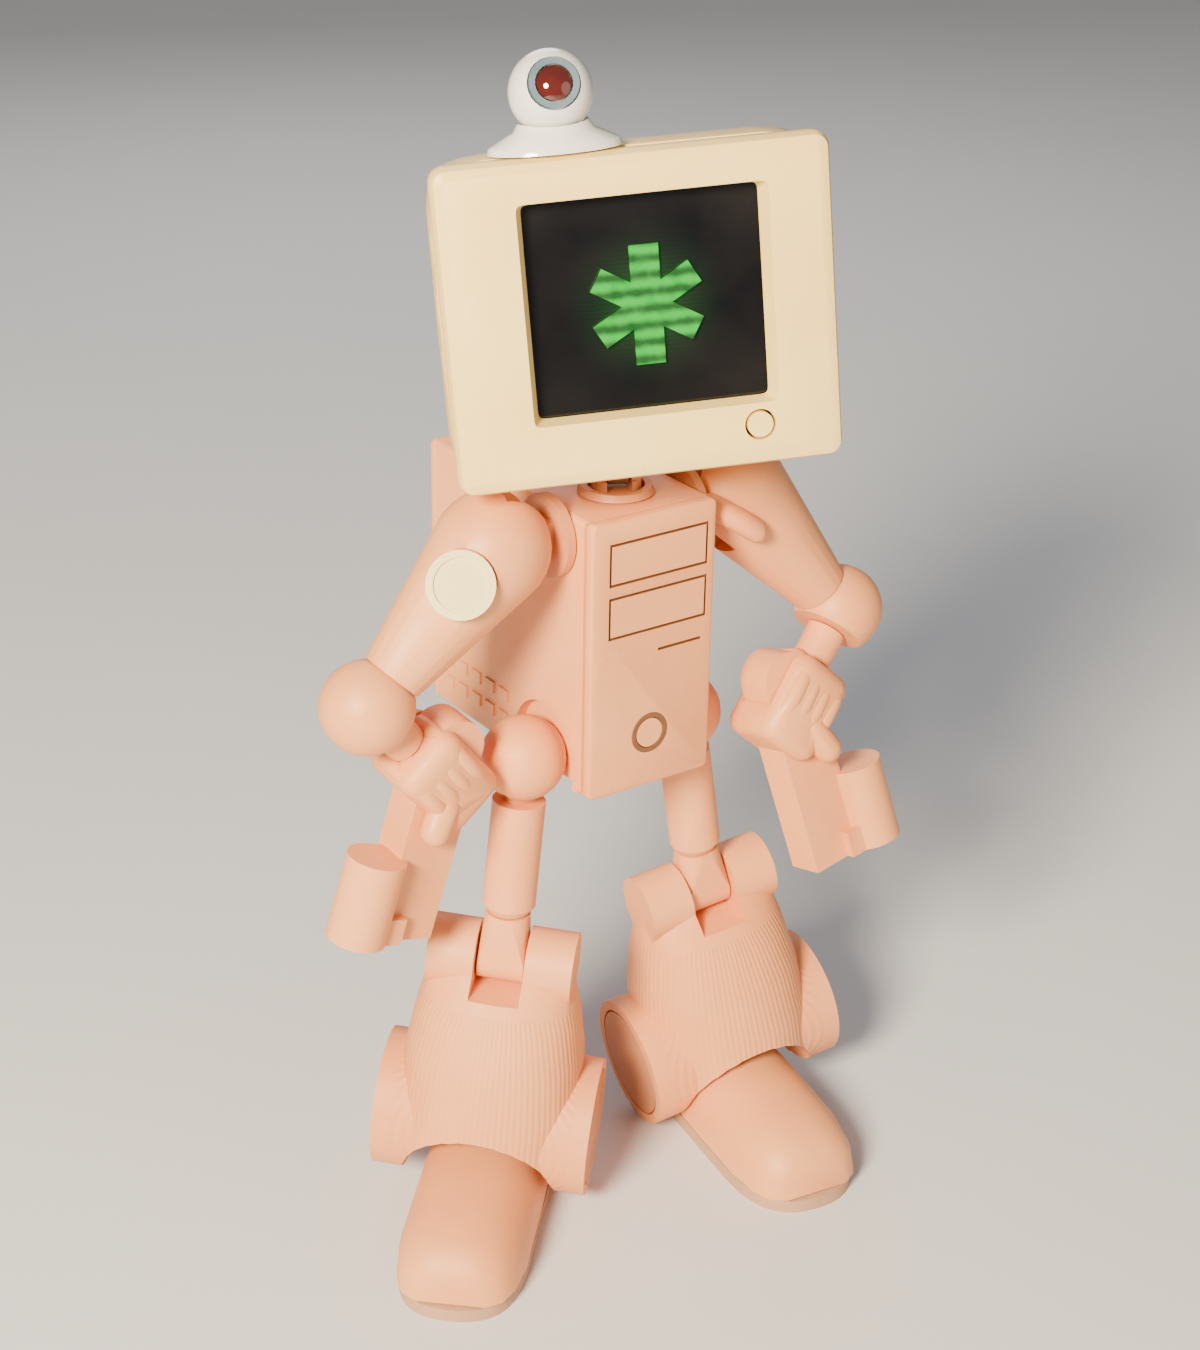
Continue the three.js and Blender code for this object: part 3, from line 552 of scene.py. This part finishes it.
# ------------------------------------------------------------------ ring round the power button
RING_OUTER, RING_INNER, RING_HEIGHT = 3.85 * MM, 2.9 * MM, 0.26 * MM
RING_ABOVE_FACE = 0.12 * MM
ring_place = middle("torso_button")
ring_place.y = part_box("torso_front_panel")[0].y + RING_ABOVE_FACE
add_piece("power_ring", *ring_band(RING_OUTER, RING_INNER, RING_HEIGHT), inlay, "torso",
          facing(ring_place, (0, -1, 0)), "trim_plastic")

# ------------------------------------------------------------------ screws at the back cover's corners
SCREW_X, SCREW_Z = 10 * MM, 23 * MM
SCREW_RADIUS, SCREW_HEIGHT, SCREW_SUNK = 1.5 * MM, 0.55 * MM, 0.6 * MM
cover_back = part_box("torso_back_cover")[1].y
cover_centre = TORSO.inverted() @ middle("torso_back_cover")
for i, (x, z) in enumerate(((-SCREW_X, SCREW_Z), (SCREW_X, SCREW_Z),
                            (-SCREW_X, -SCREW_Z), (SCREW_X, -SCREW_Z))):
    spot = TORSO @ (cover_centre + Vector((x, 0, z)))
    spot.y = cover_back - SCREW_SUNK
    add_piece(f"cover_screw_{i + 1}", *hex_screw(SCREW_RADIUS, SCREW_HEIGHT), steel, "torso",
              facing(spot, (0, 1, 0)), "pin_steel")

# ------------------------------------------------------------------ hands: curled fingers over the grip
FINGER_RADIUS = 1.62 * MM
FINGER_ROWS = [(-4.35 + 2.9 * i) * MM for i in range(4)]
# a finger's centre line down the front of the fist and under it, as y and z in the hand's frame, millimetres
FINGER_LINE = ((2.2, -1.6), (-1.6, -1.1), (-4.9, -2.4), (-6.15, -5.6),
               (-6.25, -9.2), (-5.6, -12.6), (-3.4, -15.2), (-0.2, -16.0))


def finger(x):
    return sweep(*capsule_path([(x, y * MM, z * MM) for y, z in FINGER_LINE], FINGER_RADIUS))


for side in SIDES:
    add_piece("fingers_" + side, *join_parts(*(finger(x) for x in FINGER_ROWS)), cream, "grip_" + side,
              HAND[side], "body_plastic")

# ------------------------------------------------------------------ strap moulded over the left shoulder
STRAP_RADIUS = 2.5 * MM
STRAP_SIDES, STRAP_FLAT = 20, 0.85
# centre line in the upper arm's frame, millimetres
STRAP_LINE = ((-8.0, -6.6, 5.6), (-7.6, -8.0, 3.4), (-7.1, -8.9, 1.2), (-6.6, -9.3, -1.0), (-6.1, -9.3, -3.0))
strap_path, strap_radii = capsule_path([[c * MM for c in point] for point in STRAP_LINE], STRAP_RADIUS)
add_piece("shoulder_strap_left", *sweep(strap_path, strap_radii, STRAP_SIDES, STRAP_FLAT), cream, "arm_left",
          UPPER_ARM["left"], "body_plastic")

# ------------------------------------------------------------------ floor
FLOOR = 3.0
floor_mesh = bpy.data.meshes.new("floor")
floor_mesh.from_pydata([(x * FLOOR, y * FLOOR, 0) for x, y in ((-1, -1), (1, -1), (1, 1), (-1, 1))],
                       [], [(0, 1, 2, 3)])
floor_look = Nodes("pale_floor")
floor_look.set_colour(floor_look.mix(floor_look.noise(12.0, 3.0), (0.70, 0.70, 0.71), (0.74, 0.74, 0.75)))
floor_look.fixed("Roughness", 0.85)
floor_mesh.materials.append(floor_look.material)
floor = bpy.data.objects.new("floor", floor_mesh)
bpy.context.scene.collection.objects.link(floor)

# ------------------------------------------------------------------ lights
AIM = Vector((0.0, 0.0, 0.11))
world = bpy.data.worlds.new("studio")
bpy.context.scene.world = world
world.use_nodes = True
background = world.node_tree.nodes["Background"]
background.inputs["Color"].default_value = (0.86, 0.89, 0.95, 1.0)
background.inputs["Strength"].default_value = 0.25


def soft_light(name, place, size, power, colour):
    """Round area light that points at the middle of the robot; power in watts."""
    data = bpy.data.lights.new(name, "AREA")
    data.shape = "DISK"
    data.size = size
    data.energy = power
    data.color = colour
    light = bpy.data.objects.new(name, data)
    light.location = place
    light.rotation_euler = (AIM - Vector(place)).to_track_quat("-Z", "Y").to_euler()
    bpy.context.scene.collection.objects.link(light)


soft_light("key", place=(-0.66, -0.40, 0.52), size=0.26, power=25.0, colour=(1.0, 0.87, 0.66))
soft_light("fill", place=(0.45, -0.90, 0.34), size=0.80, power=2.4, colour=(1.0, 0.86, 0.74))
soft_light("back", place=(0.35, 0.75, 0.60), size=0.50, power=2.2, colour=(0.92, 0.95, 1.0))

# ------------------------------------------------------------------ camera at the photograph's viewing angle
azimuth, elevation, roll = (math.radians(VIEW[k]) for k in ("azimuth", "elevation", "roll"))
back = Vector((math.sin(azimuth) * math.cos(elevation), -math.cos(azimuth) * math.cos(elevation),
               math.sin(elevation)))
level = (-back).cross(Vector((0, 0, 1))).normalized()
upward = level.cross(-back)
camera_x = level * math.cos(roll) + upward * math.sin(roll)
camera_y = upward * math.cos(roll) - level * math.sin(roll)
turn = Matrix((camera_x, camera_y, back)).transposed().to_4x4()
seen_from = Matrix.Translation(Vector(VIEW["place"]) * MM) @ turn
# the tower leans with the whole robot, so its bottom centre is half a width along the leaning bottom edge
lean = math.atan2(UP.x, UP.z)
panel_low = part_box("torso_front_panel")[0]
tower_foot = Vector((panel_low.x + TOWER_HALF_WIDTH * math.cos(lean), panel_low.y,
                     panel_low.z + TOWER_HALF_WIDTH * math.sin(lean)))
camera_data = bpy.data.cameras.new("camera")
camera_data.sensor_width = VIEW["sensor"]
camera_data.lens = VIEW["lens"]
camera_data.clip_start = CLIP_NEAR
camera_data.clip_end = CLIP_FAR
camera = bpy.data.objects.new("camera", camera_data)
camera.matrix_world = Matrix.Translation(tower_foot) @ Matrix.Rotation(lean, 4, "Y") @ seen_from
bpy.context.scene.collection.objects.link(camera)
bpy.context.scene.camera = camera
